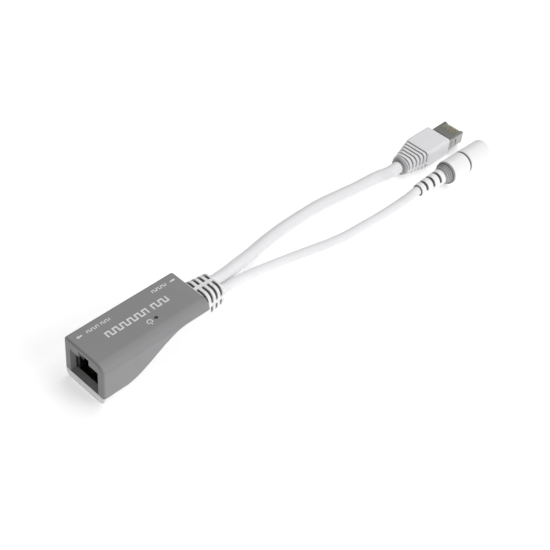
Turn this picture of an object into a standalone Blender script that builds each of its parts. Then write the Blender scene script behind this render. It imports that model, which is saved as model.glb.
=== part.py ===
"""In-line gigabit power injector: a two-shell housing with an RJ45 socket at the
front, and two short leads leaving the rear through a slotted strain relief, one
ending in a shielded RJ45 plug under a ribbed boot, the other in an in-line DC
socket.

Frame: metres, +Z up. +Y runs from the socket face towards the leads, and the
origin is under the middle of the housing, on the surface it stands on.
Dimensions below are in millimetres and are scaled by MM where meshes are made.
"""

import math

import bmesh
import bpy
import numpy as np
from mathutils import Matrix, Vector

for old in list(bpy.data.objects):
    bpy.data.objects.remove(old, do_unlink=True)

MM = 0.001

# ---------------------------------------------------------------- dimensions
LENGTH, WIDTH, TOP_Z = 57.0, 24.4, 22.5
BASE_Z = 0.2                      # the moulded frame on the underside reaches z = 0
R_NEAR_TOP, R_FAR_TOP, R_BOTTOM = 4.6, 1.5, 3.5
END_FILLET = 1.0
WALL, FRONT_WALL = 1.7, 2.4
GAP = 0.3                         # between pieces that touch
SEAM_GAP = 0.15

SEAM_FRONT_Z, SEAM_REAR_Z = 4.95, 18.3    # cover edge, front and rear
SEAM_Y0, SEAM_Y1 = -17.5, 15.5            # where the edge starts and stops rising

# the socket window narrows from the front face inwards: half width, bottom, top, notch half width, notch top
WINDOW_FRONT = (8.6, 5.3, 17.7, 3.1, 20.4)
WINDOW_REAR = (7.7, 7.3, 16.9, 2.7, 19.8)

LED_X, LED_Y = 4.1, 5.5

RELIEF_LEN = 13.2
RELIEF_SLOTS, RELIEF_PITCH, RELIEF_FIRST, RELIEF_SLOT = 4, 3.0, 2.05, 1.45

DATA_D, DC_D = 6.2, 4.5

# RJ45 plug frame: origin at the nose, its own +Y out of the nose
PLUG_X, PLUG_Y, PLUG_YAW = -8.35, 218.65, -0.33
PLUG_TOP, PLUG_HALF = 8.84, 6.05
PLUG_VISIBLE = 11.95
BOOT_W, BOOT_H, BOOT_LEN, BOOT_SIDE = 15.1, 10.0, 31.8, -0.85
BOOT_GROOVES, BOOT_PITCH, BOOT_FIRST, BOOT_GROOVE = 6, 2.3, 29.75, 0.95

# DC socket frame: origin on its axis at the seam ring, +Y towards the open end
DC_X, DC_Y, DC_Z, DC_YAW = 11.2, 200.8, 6.02, 0.815
DC_R, DC_FRONT, DC_REAR = 6.0, 16.0, -12.2
DC_RELIEF_END, DC_RELIEF_R0, DC_RELIEF_R1 = -33.6, 4.0, 3.15

HALF = LENGTH / 2

# ---------------------------------------------------------------- collections
parts = bpy.data.collections.new("poe_injector")
cutters = bpy.data.collections.new("cutters")
bpy.context.scene.collection.children.link(parts)
bpy.context.scene.collection.children.link(cutters)


def material(name, colour, roughness, metallic=0.0):
    mat = bpy.data.materials.new(name)
    mat.use_nodes = True
    shader = mat.node_tree.nodes["Principled BSDF"]
    shader.inputs["Base Color"].default_value = (*colour, 1.0)
    shader.inputs["Roughness"].default_value = roughness
    shader.inputs["Metallic"].default_value = metallic
    mat.diffuse_color = (*colour, 1.0)
    return mat


GREY = material("grey_plastic", (0.25, 0.25, 0.256), 0.55)
WHITE = material("white_plastic", (0.86, 0.86, 0.86), 0.5)
SOFT_WHITE = material("soft_white_plastic", (0.80, 0.79, 0.80), 0.6)
BLACK = material("black_plastic", (0.02, 0.02, 0.02), 0.5)
CORE_GREY = material("core_plastic", (0.2, 0.2, 0.2), 0.5)
CLEAR = material("nose_plastic", (0.55, 0.56, 0.55), 0.25)
STEEL = material("nickel_shell", (0.62, 0.63, 0.61), 0.28, 1.0)
GOLD = material("gold_contact", (0.83, 0.66, 0.3), 0.25, 1.0)
BRASS = material("brass_contact", (0.75, 0.68, 0.5), 0.3, 1.0)
BOARD = material("board_laminate", (0.03, 0.18, 0.07), 0.45)
LENS = material("light_pipe", (0.35, 0.4, 0.35), 0.15)
CAN = material("capacitor_can", (0.55, 0.56, 0.58), 0.35, 0.8)
FERRITE = material("ferrite", (0.09, 0.09, 0.1), 0.7)
WIRE_RED = material("wire_red", (0.5, 0.03, 0.02), 0.5)
WIRE_BLACK = material("wire_black", (0.02, 0.02, 0.02), 0.5)
WIRE_BLUE = material("wire_blue", (0.03, 0.08, 0.4), 0.5)
WIRE_ORANGE = material("wire_orange", (0.7, 0.25, 0.03), 0.5)
WIRE_GREEN = material("wire_green", (0.03, 0.3, 0.08), 0.5)
WIRE_BROWN = material("wire_brown", (0.2, 0.09, 0.04), 0.5)


# ---------------------------------------------------------------- helpers
def put(name, mesh, mat, parent=None, cutter=False):
    ob = bpy.data.objects.new(name, mesh)
    (cutters if cutter else parts).objects.link(ob)
    if cutter:
        ob.hide_render = True
        ob.display_type = "WIRE"
    elif mat:
        mesh.materials.append(mat)
    if parent:
        ob.parent = parent
    return ob


def box(name, lo, hi, mat=None, parent=None, cutter=False):
    bm = bmesh.new()
    size = [(b - a) * MM for a, b in zip(lo, hi)]
    mid = [(a + b) / 2 * MM for a, b in zip(lo, hi)]
    bmesh.ops.create_cube(bm, size=1.0)
    bmesh.ops.scale(bm, vec=size, verts=bm.verts)
    bmesh.ops.translate(bm, vec=mid, verts=bm.verts)
    mesh = bpy.data.meshes.new(name)
    bm.to_mesh(mesh)
    bm.free()
    return put(name, mesh, mat, parent, cutter)


def cylinder(name, centre, r, lo, hi, axis="Z", mat=None, parent=None, cutter=False, sides=24, r2=None):
    """A cylinder or cone from lo to hi along axis, through centre (the other two coordinates)."""
    bm = bmesh.new()
    bmesh.ops.create_cone(bm, cap_ends=True, cap_tris=False, segments=sides,
                          radius1=r * MM, radius2=(r if r2 is None else r2) * MM, depth=(hi - lo) * MM)
    mid = (lo + hi) / 2
    if axis == "Z":
        turn, at = Matrix.Identity(4), (centre[0], centre[1], mid)
    elif axis == "Y":
        turn, at = Matrix.Rotation(-math.pi / 2, 4, "X"), (centre[0], mid, centre[1])
    else:
        turn, at = Matrix.Rotation(math.pi / 2, 4, "Y"), (mid, centre[0], centre[1])
    bm.transform(Matrix.Translation(Vector(at) * MM) @ turn)
    mesh = bpy.data.meshes.new(name)
    bm.to_mesh(mesh)
    bm.free()
    return put(name, mesh, mat, parent, cutter)


def outline_solid(name, points, lo, hi, plane, mat=None, parent=None, cutter=False):
    """A flat outline, filled, and extruded from lo to hi along the axis normal to plane."""
    curve = bpy.data.curves.new(name, "CURVE")
    curve.dimensions = "2D"
    curve.fill_mode = "BOTH"
    curve.extrude = (hi - lo) / 2 * MM
    spline = curve.splines.new("POLY")
    spline.points.add(len(points) - 1)
    for p, (a, b) in zip(spline.points, points):
        p.co = (a * MM, b * MM, 0, 1)
    spline.use_cyclic_u = True
    guide = bpy.data.objects.new(name + "_guide", curve)
    cutters.objects.link(guide)
    bpy.context.view_layer.update()
    mesh = bpy.data.meshes.new_from_object(guide.evaluated_get(bpy.context.evaluated_depsgraph_get()))
    bpy.data.objects.remove(guide)
    mesh.name = name
    mid = (lo + hi) / 2 * MM
    frame = {
        "XY": Matrix.Translation((0, 0, mid)),
        "XZ": Matrix.Translation((0, mid, 0)) @ Matrix.Rotation(math.pi / 2, 4, "X"),
        "YZ": Matrix.Translation((mid, 0, 0)) @ Matrix(((0, 0, 1, 0), (1, 0, 0, 0), (0, 1, 0, 0), (0, 0, 0, 1))),
    }[plane]
    bm = bmesh.new()
    bm.from_mesh(mesh)
    bmesh.ops.remove_doubles(bm, verts=bm.verts, dist=1e-6)
    bm.transform(frame)
    bmesh.ops.recalc_face_normals(bm, faces=bm.faces)
    bm.to_mesh(mesh)
    bm.free()
    return put(name, mesh, mat, parent, cutter)


def turned(name, profile, mat=None, parent=None, cutter=False, steps=32, at=(0, 0, 0), along_y=True):
    """A profile of (radius, station) turned about its axis; along_y lays that axis along +Y."""
    bm = bmesh.new()
    verts = [bm.verts.new((r * MM, 0, s * MM)) for r, s in profile]
    closed = profile[0][0] > 0
    for a, b in zip(verts, verts[1:] + (verts[:1] if closed else [])):
        bm.edges.new((a, b))
    mesh = bpy.data.meshes.new(name)
    bm.to_mesh(mesh)
    bm.free()
    ob = put(name, mesh, mat, parent, cutter)
    screw = ob.modifiers.new("Screw", "SCREW")
    screw.axis = "Z"
    screw.angle = math.tau
    screw.steps = screw.render_steps = steps
    screw.use_merge_vertices = True
    screw.merge_threshold = 1e-6
    screw.use_smooth_shade = True
    ob.location = Vector(at) * MM
    if along_y:
        ob.rotation_euler.x = -math.pi / 2
    return ob


def boolean(ob, cutter, operation="DIFFERENCE"):
    mod = ob.modifiers.new(f"{operation.title()} {cutter.name}"[:60], "BOOLEAN")
    mod.operation = operation
    mod.solver = "EXACT"
    mod.object = cutter
    return ob


def bevel(ob, width, segments=2, angle=50):
    mod = ob.modifiers.new("Bevel", "BEVEL")
    mod.width = width * MM
    mod.segments = segments
    mod.limit_method = "ANGLE"
    mod.angle_limit = math.radians(angle)
    return ob


def smooth(ob, angle=35):
    ob.data.shade_smooth()
    ob.data.set_sharp_from_angle(angle=math.radians(angle))
    return ob


def rounded(x0, x1, z0, z1, radii, steps=5):
    """A rectangle with its four corner radii given as (x1,z1), (x0,z1), (x0,z0), (x1,z0)."""
    corners = ((x1, z1, 0), (x0, z1, 1), (x0, z0, 2), (x1, z0, 3))
    points = []
    for (x, z, quarter), r in zip(corners, radii):
        cx, cz = x - r * (1 if x == x1 else -1), z - r * (1 if z == z1 else -1)
        for i in range(steps + 1):
            a = (quarter + i / steps) * math.pi / 2
            points.append((cx + r * math.cos(a), cz + r * math.sin(a)))
    return points


def loft(name, sections, mat=None, parent=None, cutter=False):
    """A closed skin over rings of (x, z) points at each station y: for the tapered mouldings
    whose section changes from a rounded box to an oval."""
    bm = bmesh.new()
    rings = [[bm.verts.new((x * MM, y * MM, z * MM)) for x, z in ring] for y, ring in sections]
    n = len(rings[0])
    for a, b in zip(rings, rings[1:]):
        for i in range(n):
            j = (i + 1) % n
            bm.faces.new((a[i], a[j], b[j], b[i]))
    bm.faces.new(rings[0])
    bm.faces.new(list(reversed(rings[-1])))
    bmesh.ops.recalc_face_normals(bm, faces=bm.faces)
    mesh = bpy.data.meshes.new(name)
    bm.to_mesh(mesh)
    bm.free()
    return put(name, mesh, mat, parent, cutter)


def oval(cx, cz, w, h, r, steps=5):
    return rounded(cx - w, cx + w, cz - h, cz + h, (r, r, r, r), steps)


def smooth_path(route, spacing):
    """Points a fixed distance apart on a Catmull-Rom curve through the route's own points."""
    pts = [np.array(p, float) for p in route]
    ends = [2 * pts[0] - pts[1], *pts, 2 * pts[-1] - pts[-2]]
    fine = []
    for p0, p1, p2, p3 in zip(ends, ends[1:], ends[2:], ends[3:]):
        t0 = 0.0
        t1 = t0 + np.linalg.norm(p1 - p0) ** 0.5
        t2 = t1 + np.linalg.norm(p2 - p1) ** 0.5
        t3 = t2 + np.linalg.norm(p3 - p2) ** 0.5
        for t in np.linspace(t1, t2, 24, endpoint=False):
            a1 = (t1 - t) / (t1 - t0) * p0 + (t - t0) / (t1 - t0) * p1
            a2 = (t2 - t) / (t2 - t1) * p1 + (t - t1) / (t2 - t1) * p2
            a3 = (t3 - t) / (t3 - t2) * p2 + (t - t2) / (t3 - t2) * p3
            b1 = (t2 - t) / (t2 - t0) * a1 + (t - t0) / (t2 - t0) * a2
            b2 = (t3 - t) / (t3 - t1) * a2 + (t - t1) / (t3 - t1) * a3
            fine.append((t2 - t) / (t2 - t1) * b1 + (t - t1) / (t2 - t1) * b2)
    fine.append(pts[-1])
    fine = np.array(fine)
    run = np.concatenate([[0], np.cumsum(np.linalg.norm(np.diff(fine, axis=0), axis=1))])
    count = max(2, int(round(run[-1] / spacing)) + 1)
    at = np.linspace(0, run[-1], count)
    stub = min(1.2, run[-1] / 4)          # a short straight piece squares off each end
    at = np.concatenate([[0, stub], at[1:-1], [run[-1] - stub, run[-1]]])
    return np.stack([np.interp(at, run, fine[:, k]) for k in range(3)], 1), run[-1]


def cord(name, route, diameter, spacing, mat, resolution):
    points, length = smooth_path(route, spacing)
    curve = bpy.data.curves.new(name, "CURVE")
    curve.dimensions = "3D"
    curve.bevel_depth = diameter / 2 * MM
    curve.bevel_resolution = resolution
    curve.use_fill_caps = True
    spline = curve.splines.new("POLY")
    spline.points.add(len(points) - 1)
    for p, co in zip(spline.points, points):
        p.co = (*(co * MM), 1)
    curve.materials.append(mat)
    ob = bpy.data.objects.new(name, curve)
    parts.objects.link(ob)
    ob["length_mm"] = round(float(length), 2)
    return ob


def frame_at(name, x, y, z, yaw_degrees):
    empty = bpy.data.objects.new(name, None)
    empty.location = (x * MM, y * MM, z * MM)
    empty.rotation_euler.z = -math.radians(yaw_degrees)
    parts.objects.link(empty)
    return empty


# ---------------------------------------------------------------- housing
def seam_z(y):
    t = min(1.0, max(0.0, (y - SEAM_Y0) / (SEAM_Y1 - SEAM_Y0)))
    return SEAM_FRONT_Z + (SEAM_REAR_Z - SEAM_FRONT_Z) * t * t * (3 - 2 * t)


def housing_blank(name, mat):
    ring = rounded(-WIDTH / 2, WIDTH / 2, BASE_Z, TOP_Z, (R_NEAR_TOP, R_FAR_TOP, R_BOTTOM, R_BOTTOM), 5)
    ob = outline_solid(name, ring, -HALF, HALF, "XZ", mat)
    return bevel(smooth(ob), END_FILLET, 2, 60)


def seam_region(name, above, offset):
    ys = [-40.0] + [SEAM_Y0 + (SEAM_Y1 - SEAM_Y0) * i / 14 for i in range(15)] + [40.0]
    line = [(y, seam_z(y) + offset) for y in ys]
    far = 40.0 if above else -20.0
    return outline_solid(name, line + [(40.0, far), (-40.0, far)], -20, 20, "YZ", cutter=True)


cavity = outline_solid(
    "cavity",
    rounded(-WIDTH / 2 + WALL, WIDTH / 2 - WALL, BASE_Z + WALL, TOP_Z - WALL,
            (R_NEAR_TOP - WALL, 0.6, R_BOTTOM - WALL, R_BOTTOM - WALL), 3),
    -HALF + FRONT_WALL, HALF - WALL, "XZ", cutter=True)
cover_region = seam_region("cover_region", True, SEAM_GAP / 2)
base_region = seam_region("base_region", False, -SEAM_GAP / 2)


def window_ring(half, z0, z1, notch, notch_z1):
    return [(-half, z0), (half, z0), (half, z1), (notch, z1), (notch, notch_z1), (-notch, notch_z1), (-notch, z1), (-half, z1)]


window = loft("window", [(-HALF - 1, window_ring(*WINDOW_FRONT)), (-HALF + 0.25, window_ring(*WINDOW_FRONT)),
                         (-HALF + FRONT_WALL + 0.4, window_ring(*WINDOW_REAR))], cutter=True)
lamp_hole = cylinder("lamp_hole", (LED_X, LED_Y), 0.9, TOP_Z - WALL - 1, TOP_Z + 1, cutter=True, sides=20)

NECK_C = (0.6, 15.35)                                  # centre of the neck through the rear wall
RELIEF_C0, RELIEF_C1 = (0.85, 13.6), (0.25, 13.0)      # oval centres at the housing and at the tip
RELIEF_S0, RELIEF_S1 = (7.85, 6.85), (6.5, 5.9)        # half sizes there
NECK = (7.4, 4.1)
outlet = loft("outlet", [(HALF - WALL - 1, oval(*NECK_C, NECK[0] + GAP, NECK[1] + GAP, 3.7)),
                         (HALF + 1, oval(*NECK_C, NECK[0] + GAP, NECK[1] + GAP, 3.7))], cutter=True)

top_cover = housing_blank("top_cover", GREY)
boolean(top_cover, cavity)
boolean(top_cover, cover_region, "INTERSECT")
for cutter in (window, lamp_hole, outlet):
    boolean(top_cover, cutter)
# two snap tabs that reach down inside the white base near the rear
for side, tag in ((-1, "far"), (1, "near")):
    inner = WIDTH / 2 - WALL
    xs = sorted((side * (inner + 0.5), side * (inner - 0.8)))
    boolean(top_cover, box(f"rear_tab_{tag}_root", (xs[0], 17.0, 18.9), (xs[1], 21.0, 20.0), cutter=True), "UNION")
    xs = sorted((side * (inner - 0.25), side * (inner - 0.8)))
    boolean(top_cover, box(f"rear_tab_{tag}", (xs[0], 17.0, 15.4), (xs[1], 21.0, 19.5), cutter=True), "UNION")

bottom_cover = housing_blank("bottom_cover", WHITE)
boolean(bottom_cover, cavity)
boolean(bottom_cover, base_region, "INTERSECT")
boolean(bottom_cover, outlet)
# ribs that carry the circuit board, and two snap tabs behind the grey cover's sides
for i, y in enumerate((-19.0, -4.0, 11.0)):
    boolean(bottom_cover, box(f"rib_{i}", (-9.0, y, 1.0), (9.0, y + 1.2, 3.0), cutter=True), "UNION")
for side, tag in ((-1, "far"), (1, "near")):
    inner = WIDTH / 2 - WALL
    xs = sorted((side * (inner + 0.5), side * (inner - 0.8)))
    boolean(bottom_cover, box(f"front_tab_{tag}_root", (xs[0], -21.0, 2.9), (xs[1], -17.0, 4.3), cutter=True), "UNION")
    xs = sorted((side * (inner - 0.25), side * (inner - 0.8)))
    boolean(bottom_cover, box(f"front_tab_{tag}", (xs[0], -21.0, 3.5), (xs[1], -17.0, 8.0), cutter=True), "UNION")
# raised frame with blank panels moulded on the underside
FRAME_X, FRAME_Y0, FRAME_Y1, FRAME_LINE = 7.2, -23.5, 1.5, 0.5
label_frame = box("label_frame", (-FRAME_X, FRAME_Y0, 0.0), (FRAME_X, FRAME_Y1, 1.0), cutter=True)
panel = (2 * FRAME_X - 4 * FRAME_LINE) / 3
for i in range(3):
    x0 = -FRAME_X + FRAME_LINE + i * (panel + FRAME_LINE)
    boolean(label_frame, box(f"frame_panel_{i}", (x0, FRAME_Y0 + FRAME_LINE, -1.0), (x0 + panel, FRAME_Y1 - FRAME_LINE, BASE_Z), cutter=True))
boolean(bottom_cover, label_frame, "UNION")
for i, (y0, y1) in enumerate(((5.0, 7.2), (9.5, 11.7), (14.0, 23.0))):
    boolean(bottom_cover, box(f"label_bar_{i}", (-6.4, y0, 0.0), (6.4, y1, 1.0), cutter=True), "UNION")

# ---------------------------------------------------------------- board and what it carries
BOARD_Z0, BOARD_Z1 = 3.3, 4.9
ON_BOARD = BOARD_Z1 + GAP
JACK_Y0, JACK_Y1, JACK_HALF, JACK_TOP = -HALF + FRONT_WALL + GAP, -9.8, 8.0, 20.4

bevel(box("circuit_board", (-9.2, -25.6, BOARD_Z0), (9.2, 20.0, BOARD_Z1), BOARD), 0.2, 1)

jack = box("jack_housing", (-JACK_HALF, JACK_Y0, ON_BOARD), (JACK_HALF, JACK_Y1, JACK_TOP), BLACK)
PORT_HALF, PORT_Z0, PORT_Z1, PORT_DEPTH = 5.95, 7.0, 14.0, 13.0
port = outline_solid(
    "port",
    [(-PORT_HALF, PORT_Z0), (PORT_HALF, PORT_Z0), (PORT_HALF, PORT_Z1), (3.1, PORT_Z1), (3.1, 15.9), (2.1, 15.9),
     (2.1, 17.5), (-2.1, 17.5), (-2.1, 15.9), (-3.1, 15.9), (-3.1, PORT_Z1), (-PORT_HALF, PORT_Z1)],
    JACK_Y0 - 1, JACK_Y0 + PORT_DEPTH, "XZ", cutter=True)
boolean(jack, port)
boolean(jack, box("contact_trough", (-4.6, JACK_Y0 + 1.3, 5.9), (4.6, JACK_Y0 + 12.6, PORT_Z0 + 0.5), cutter=True))
boolean(jack, box("rear_pocket", (-6.0, JACK_Y1 - 1.6, 7.0), (6.0, JACK_Y1 + 1, 16.0), cutter=True))

# eight contact springs, joined by a thin bar in the trough; they flex about that bar
CONTACT_Y, CONTACT_Z, CONTACT_RISE = JACK_Y0 + 2.1, 6.4, 17.0
flex = frame_at("jack_contact_axis", 0, CONTACT_Y, CONTACT_Z, 0)
springs = box("jack_contacts", (-4.1, -0.35, -0.3), (4.1, 0.35, 0.3), GOLD, flex)
for i in range(8):
    x = (i - 3.5) * 1.016
    wire = box(f"spring_{i}", (x - 0.22, -0.1, -0.2), (x + 0.22, 9.6, 0.2), parent=flex, cutter=True)
    wire.rotation_euler.x = math.radians(CONTACT_RISE)
    boolean(springs, wire, "UNION")

bevel(box("lan_transformer", (-6.4, -7.5, ON_BOARD), (6.4, 2.0, ON_BOARD + 5.2), BLACK), 0.3, 1)
capacitor = turned("capacitor", [(0, 7.8), (2.9, 7.8), (3.15, 7.5), (3.15, 1.7), (2.85, 1.45), (3.15, 1.2), (3.15, 0), (0, 0)],
                   CAN, steps=24, at=(-5.6, 7.6, ON_BOARD), along_y=False)
bevel(box("inductor", (2.9, 8.6, ON_BOARD), (8.7, 14.4, ON_BOARD + 3.2), FERRITE), 0.8, 2)
bevel(box("fuse", (-1.4, 4.2, ON_BOARD), (1.6, 6.8, ON_BOARD + 1.2), SOFT_WHITE), 0.15, 1)
bevel(box("protection_diode", (-1.7, 9.0, ON_BOARD), (1.5, 13.6, ON_BOARD + 2.2), BLACK), 0.25, 1)
bevel(box("status_led", (LED_X - 0.9, LED_Y - 0.6, ON_BOARD), (LED_X + 0.9, LED_Y + 0.6, ON_BOARD + 0.8), LENS), 0.1, 1)
turned("light_pipe", [(0, TOP_Z - 0.35), (0.62, TOP_Z - 0.5), (0.62, TOP_Z - WALL - GAP), (1.7, TOP_Z - WALL - GAP),
                      (1.7, TOP_Z - WALL - GAP - 0.9), (0.62, TOP_Z - WALL - GAP - 0.9), (0.62, ON_BOARD + 1.2), (0, ON_BOARD + 1.2)],
       LENS, steps=20, at=(LED_X, LED_Y, 0), along_y=False)

# ---------------------------------------------------------------- strain relief
def relief_ring(y):
    t = (y - HALF) / RELIEF_LEN
    cx, cz = (a + (b - a) * t for a, b in zip(RELIEF_C0, RELIEF_C1))
    w, h = (a + (b - a) * t for a, b in zip(RELIEF_S0, RELIEF_S1))
    return cx, cz, w, h


def relief_section(y, grow=0.0):
    cx, cz, w, h = relief_ring(y)
    return oval(cx, cz, w + grow, h + grow, min(w, h) * 0.6 + grow, 6)


tip = HALF + RELIEF_LEN
flange0, flange1 = HALF - WALL - GAP - 1.8, HALF - WALL - GAP
strain_relief = loft("strain_relief", [
    (flange0, oval(*NECK_C, 8.9, 5.0, 3.9, 6)),
    (flange1, oval(*NECK_C, 8.9, 5.0, 3.9, 6)),
    (flange1, oval(*NECK_C, NECK[0], NECK[1], 3.4, 6)),
    (HALF + GAP, oval(*NECK_C, NECK[0], NECK[1], 3.4, 6)),
    (HALF + GAP, relief_section(HALF + GAP)),
    (tip - 0.7, relief_section(tip - 0.7)),
    (tip, relief_section(tip, -0.7)),
], SOFT_WHITE)
slot_cut = box("relief_slots", (-14, HALF + RELIEF_FIRST - RELIEF_SLOT / 2, 0), (14, HALF + RELIEF_FIRST + RELIEF_SLOT / 2, 30), cutter=True)
array = slot_cut.modifiers.new("Array", "ARRAY")
array.count = RELIEF_SLOTS
array.use_relative_offset = False
array.use_constant_offset = True
array.constant_offset_displace = (0, RELIEF_PITCH * MM, 0)
relief_core = loft("relief_core", [(y, relief_section(y, -1.9)) for y in (HALF + 0.5, tip - 0.5)], cutter=True)
bridge_top = loft("relief_bridge_top", [(HALF - 1, rounded(-0.15, 1.4, 0, 30, (0.1,) * 4, 1)),
                                        (tip + 1, rounded(-0.8, 0.8, 0, 30, (0.1,) * 4, 1))], cutter=True)
bridge_side = loft("relief_bridge_side", [(HALF - 1, rounded(-14, 14, 13.6, 15.3, (0.1,) * 4, 1)),
                                          (tip + 1, rounded(-14, 14, 12.6, 14.3, (0.1,) * 4, 1))], cutter=True)
for keep in (relief_core, bridge_top, bridge_side):
    boolean(slot_cut, keep)
boolean(strain_relief, slot_cut)
smooth(strain_relief, 30)

# ---------------------------------------------------------------- leads
DATA_EXIT, DC_EXIT = (-1.55, 14.45), (4.08, 14.05)
cos_p, sin_p = math.cos(math.radians(PLUG_YAW)), math.sin(math.radians(PLUG_YAW))
cos_d, sin_d = math.cos(math.radians(DC_YAW)), math.sin(math.radians(DC_YAW))
boot_end = PLUG_VISIBLE + BOOT_LEN
BOOT_AXIS_Z = 4.95


def plug_point(back, z):
    return (PLUG_X - back * sin_p, PLUG_Y - back * cos_p, z)


def dc_point(station, z):
    return (DC_X + station * sin_d, DC_Y + station * cos_d, z)


DATA_ROUTE = [
    (DATA_EXIT[0], tip + GAP, DATA_EXIT[1]), (DATA_EXIT[0], tip + GAP + 2.2, DATA_EXIT[1]), (-2.05, 47.5, 13.8), (-3.15, 52.0, 12.55), (-5.5, 60.0, 10.3), (-8.95, 72.6, 7.0), (-12.5, 87.1, 4.6),
    (-14.4, 100.3, 3.5), (-14.95, 113.0, 3.15), (-14.85, 125.3, 3.15), (-13.4, 137.8, 3.15), (-11.8, 150.6, 3.2), (-10.4, 162.0, 3.9),
    plug_point(boot_end + 6.0, 4.8), plug_point(boot_end + 2.8, BOOT_AXIS_Z), plug_point(boot_end + GAP, BOOT_AXIS_Z),
]
DC_ROUTE = [
    (DC_EXIT[0], tip + GAP, DC_EXIT[1]), (DC_EXIT[0], tip + GAP + 1.8, DC_EXIT[1]), (3.6, 46.7, 13.45), (2.65, 52.0, 12.05), (1.2, 62.0, 8.7), (0.35, 72.5, 5.6), (0.7, 83.7, 3.3),
    (2.95, 97.0, 2.4), (5.9, 109.8, 2.3), (7.4, 119.0, 2.3), (8.1, 129.0, 2.3), (8.9, 142.0, 2.5), (9.7, 154.0, 3.6),
    dc_point(DC_RELIEF_END - 5.0, 5.6), dc_point(DC_RELIEF_END - 2.6, DC_Z), dc_point(DC_RELIEF_END - GAP, DC_Z),
]
data_cable = cord("data_cable", DATA_ROUTE, DATA_D, 9.0, SOFT_WHITE, 4)
dc_cable = cord("dc_cable", DC_ROUTE, DC_D, 7.5, SOFT_WHITE, 3)

# cores inside the housing, from the flange to their pads on the board
inner_face = flange0 - GAP
UPPER, LOWER = (17.2, 12.6, 15.2), (20.2, 9.6, 18.3)     # bend y, bend z and landing y of each row
pads = (
    ("data_pair_orange", (-3.0, 15.6), -5.3, UPPER, WIRE_ORANGE), ("data_pair_green", (-0.9, 15.6), -1.0, UPPER, WIRE_GREEN),
    ("data_pair_blue", (-3.0, 13.5), -6.4, LOWER, WIRE_BLUE), ("data_pair_brown", (-0.9, 13.5), -3.2, LOWER, WIRE_BROWN),
    ("dc_lead_positive", (2.9, 14.2), 3.1, LOWER, WIRE_RED), ("dc_lead_negative", (4.9, 14.2), 6.4, LOWER, WIRE_BLACK),
)
for wire_name, (x0, z0), x1, (bend_y, bend_z, land_y), mat in pads:
    cord(wire_name, [(x0, inner_face, z0), (x0, inner_face - 1.4, z0 - 0.1), ((x0 + x1) / 2, bend_y, bend_z),
                     (x1, land_y + 0.2, 7.6), (x1, land_y, 6.2), (x1, land_y, ON_BOARD)], 1.5, 2.4, mat, 1)

# ---------------------------------------------------------------- RJ45 plug and boot
plug = frame_at("plug_frame", PLUG_X, PLUG_Y, 0, PLUG_YAW)
B0, B1 = -PLUG_VISIBLE, -boot_end
BOOT_BOTTOM = 0.05


def boot_section(back, grow=0.0):
    """Rounded box at the mouth that narrows to a circle at the cable end."""
    start, end = 27.5, boot_end
    t = min(1.0, max(0.0, (back - start) / (end - start)))
    w = (BOOT_W / 2) * (1 - t) + 4.6 * t
    h = (BOOT_H / 2) * (1 - t) + 4.6 * t
    cz = (BOOT_BOTTOM + BOOT_H / 2) * (1 - t) + BOOT_AXIS_Z * t
    r = 1.5 * (1 - t) + 4.5 * t
    return oval(BOOT_SIDE * (1 - t), cz, w + grow, h + grow, max(0.3, min(r + grow, w + grow - 0.02, h + grow - 0.02)), 5)


plug_boot = loft("plug_boot", [(-b, boot_section(b)) for b in (PLUG_VISIBLE, 20.0, 27.5, 31.0, 34.5, 38.0, boot_end)], SOFT_WHITE, plug)
boolean(plug_boot, box("boot_mouth", (-6.2, -22.0, 1.9), (6.2, B0 + 1, 9.2), parent=plug, cutter=True))
boolean(plug_boot, box("boot_latch_notch", (-3.4, -16.2, -1.0), (3.4, B0 + 1, 3.0), parent=plug, cutter=True))
groove_cut = box("boot_grooves", (-10, -BOOT_FIRST - BOOT_GROOVE / 2, -2), (10, -BOOT_FIRST + BOOT_GROOVE / 2, 14), parent=plug, cutter=True)
array = groove_cut.modifiers.new("Array", "ARRAY")
array.count = BOOT_GROOVES
array.use_relative_offset = False
array.use_constant_offset = True
array.constant_offset_displace = (0, -BOOT_PITCH * MM, 0)
boolean(groove_cut, loft("boot_core", [(-b, boot_section(b, -0.9)) for b in (26.0, 27.5, 34.5, boot_end + 0.5)], parent=plug, cutter=True))
boolean(groove_cut, box("boot_bridge", (-12, -50, 3.4), (12, -20, 4.5), parent=plug, cutter=True))
boolean(plug_boot, groove_cut)
boolean(plug_boot, cylinder("boot_cable_recess", (0, BOOT_AXIS_Z), DATA_D / 2 + 0.45, -boot_end - 1, -boot_end + 1.0, "Y", parent=plug, cutter=True))
smooth(plug_boot, 30)

# nickel sleeve round the plastic body, open over the contacts
SHIELD_T, SHIELD_Z0 = 0.25, 2.25
shield = box("plug_shield", (-PLUG_HALF, -21.2, SHIELD_Z0), (PLUG_HALF, -0.3, PLUG_TOP), STEEL, plug)
bevel(shield, 0.25, 1)
boolean(shield, box("shield_inside", (-PLUG_HALF + SHIELD_T, -22.0, SHIELD_Z0 + SHIELD_T), (PLUG_HALF - SHIELD_T, 1.0, PLUG_TOP - SHIELD_T), parent=plug, cutter=True))
boolean(shield, box("shield_gap", (-4.9, -12.2, PLUG_TOP - 1.0), (4.9, -10.9, PLUG_TOP + 1), parent=plug, cutter=True))
boolean(shield, box("shield_window", (-4.7, -5.6, PLUG_TOP - 1.0), (4.7, 1.0, PLUG_TOP + 1), parent=plug, cutter=True))
for side, tag in ((-1, "far"), (1, "near")):
    # pressed bumps on both flanks, which touch the socket's shield
    xs = sorted((side * (PLUG_HALF - 0.1), side * (PLUG_HALF + 0.22)))
    bump = bevel(box(f"shield_bump_{tag}", (xs[0], -9.6, 4.4), (xs[1], -7.2, 6.6), parent=plug, cutter=True), 0.12, 1)
    boolean(shield, bump, "UNION")

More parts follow.
